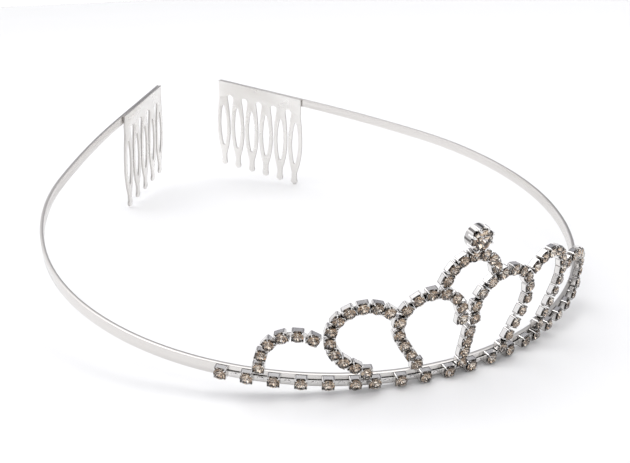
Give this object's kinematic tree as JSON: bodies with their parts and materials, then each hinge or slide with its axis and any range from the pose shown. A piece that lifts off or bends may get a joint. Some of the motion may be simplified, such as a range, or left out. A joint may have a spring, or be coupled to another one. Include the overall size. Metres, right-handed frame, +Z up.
{
  "type": "diadem",
  "caption": "Tiara headband: a bent flat metal strip with a hair comb at each end and a crown of open arches made of rhinestone chain, with a large round stone at the peak.",
  "frame": {"origin": "on the floor, under the middle of the diadem's box as it rests on its front edge and comb tips", "axes": "+Z up, -Y towards the front of the crown, +X to the right as seen from the front"},
  "size_m": [0.1194, 0.1642, 0.0348],
  "materials": {
    "strip_metal": "bright plated strip",
    "comb_metal": "satin plated sheet",
    "setting_metal": "polished plated settings",
    "stone_glass": "foil-backed cut glass"
  },
  "bodies": {
    "root": {"band": "strip_metal", "comb_left": "comb_metal", "comb_right": "comb_metal", "base_chain": "setting_metal", "arch_1": "setting_metal", "arch_2": "setting_metal", "arch_3": "setting_metal", "arch_4": "setting_metal", "arch_5": "setting_metal", "arch_6": "setting_metal", "arch_7": "setting_metal", "stem": "setting_metal", "top_setting": "setting_metal", "base_stones": "stone_glass", "arch_1_stones": "stone_glass", "arch_2_stones": "stone_glass", "arch_3_stones": "stone_glass", "arch_4_stones": "stone_glass", "arch_5_stones": "stone_glass", "arch_6_stones": "stone_glass", "arch_7_stones": "stone_glass", "stem_stones": "stone_glass", "top_stone": "stone_glass"}
  },
  "joints": []
}
